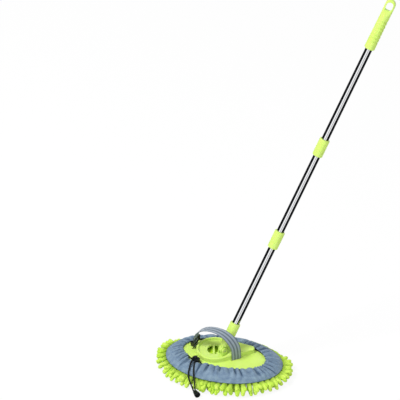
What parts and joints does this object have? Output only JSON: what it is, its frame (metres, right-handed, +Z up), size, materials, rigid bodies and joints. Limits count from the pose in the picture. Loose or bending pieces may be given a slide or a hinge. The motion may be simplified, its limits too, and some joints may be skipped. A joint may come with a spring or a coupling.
{
  "type": "car wash brush",
  "caption": "Long-handled car wash brush: an oval chenille pad under a plate with a hand strap, hinged to a chromed pole that screws together and ends in a grip with a hanging loop.",
  "frame": {"origin": "centre of the middle strand's cut tip, on the floor under the middle of the oval head", "axes": "+X along the head's long axis, +Y away from the cord end, +Z up"},
  "size_m": [0.5175, 0.5141, 0.944],
  "materials": {
    "lime_plastic": "satin",
    "lime_chenille": "matte",
    "blue_grey_cloth": "matte",
    "green_foam": "matte",
    "grey_webbing": "matte",
    "black_plastic": "satin",
    "black_cord": "matte",
    "chromed_steel": "polished",
    "steel": "satin"
  },
  "bodies": {
    "head": {"chenille_pile": "lime_chenille", "foam_core": "green_foam", "hem_skirt": "blue_grey_cloth", "hem_drawstring": "black_cord", "head_plate": "lime_plastic", "hinge_pin": "steel", "hand_strap": "grey_webbing", "strap_slider": "black_plastic", "cord_lock_body": "black_plastic", "cord_lock_spring": "steel", "drawstring_end_left": "black_cord", "drawstring_end_right": "black_cord", "cord_end_bell": "black_plastic"},
    "plunger": {"cord_lock_plunger": "black_plastic"},
    "neck": {"neck": "lime_plastic"},
    "lower_section": {"pole_socket": "lime_plastic", "lower_tube": "chromed_steel", "lower_thread_plug": "lime_plastic"},
    "middle_section": {"lower_coupling": "lime_plastic", "middle_tube": "chromed_steel", "middle_thread_plug": "lime_plastic"},
    "upper_section": {"upper_coupling": "lime_plastic", "upper_tube": "chromed_steel", "grip": "lime_plastic"}
  },
  "joints": [
    {"name": "pole_tilt", "type": "hinge", "parent": "head", "child": "neck", "pos_m": [-0.0035, 0, 0.0581], "axis": [-0.7349, 0.6782, 0], "range_deg": [-8, 40]},
    {"name": "lower_section_pull", "type": "slide", "parent": "neck", "child": "lower_section", "axis": [0.3339, 0.3619, 0.8704], "range_m": [0, 0.03]},
    {"name": "middle_section_pull", "type": "slide", "parent": "lower_section", "child": "middle_section", "axis": [0.3339, 0.3619, 0.8704], "range_m": [0, 0.026]},
    {"name": "upper_section_pull", "type": "slide", "parent": "middle_section", "child": "upper_section", "axis": [0.3339, 0.3619, 0.8704], "range_m": [0, 0.026]},
    {"name": "plunger_press", "type": "slide", "parent": "head", "child": "plunger", "axis": [0, 0, -1], "range_m": [0, 0.0035], "stiffness_N_per_m": 500, "springref_m": -0.001, "deforming": ["cord_lock_spring"]}
  ]
}
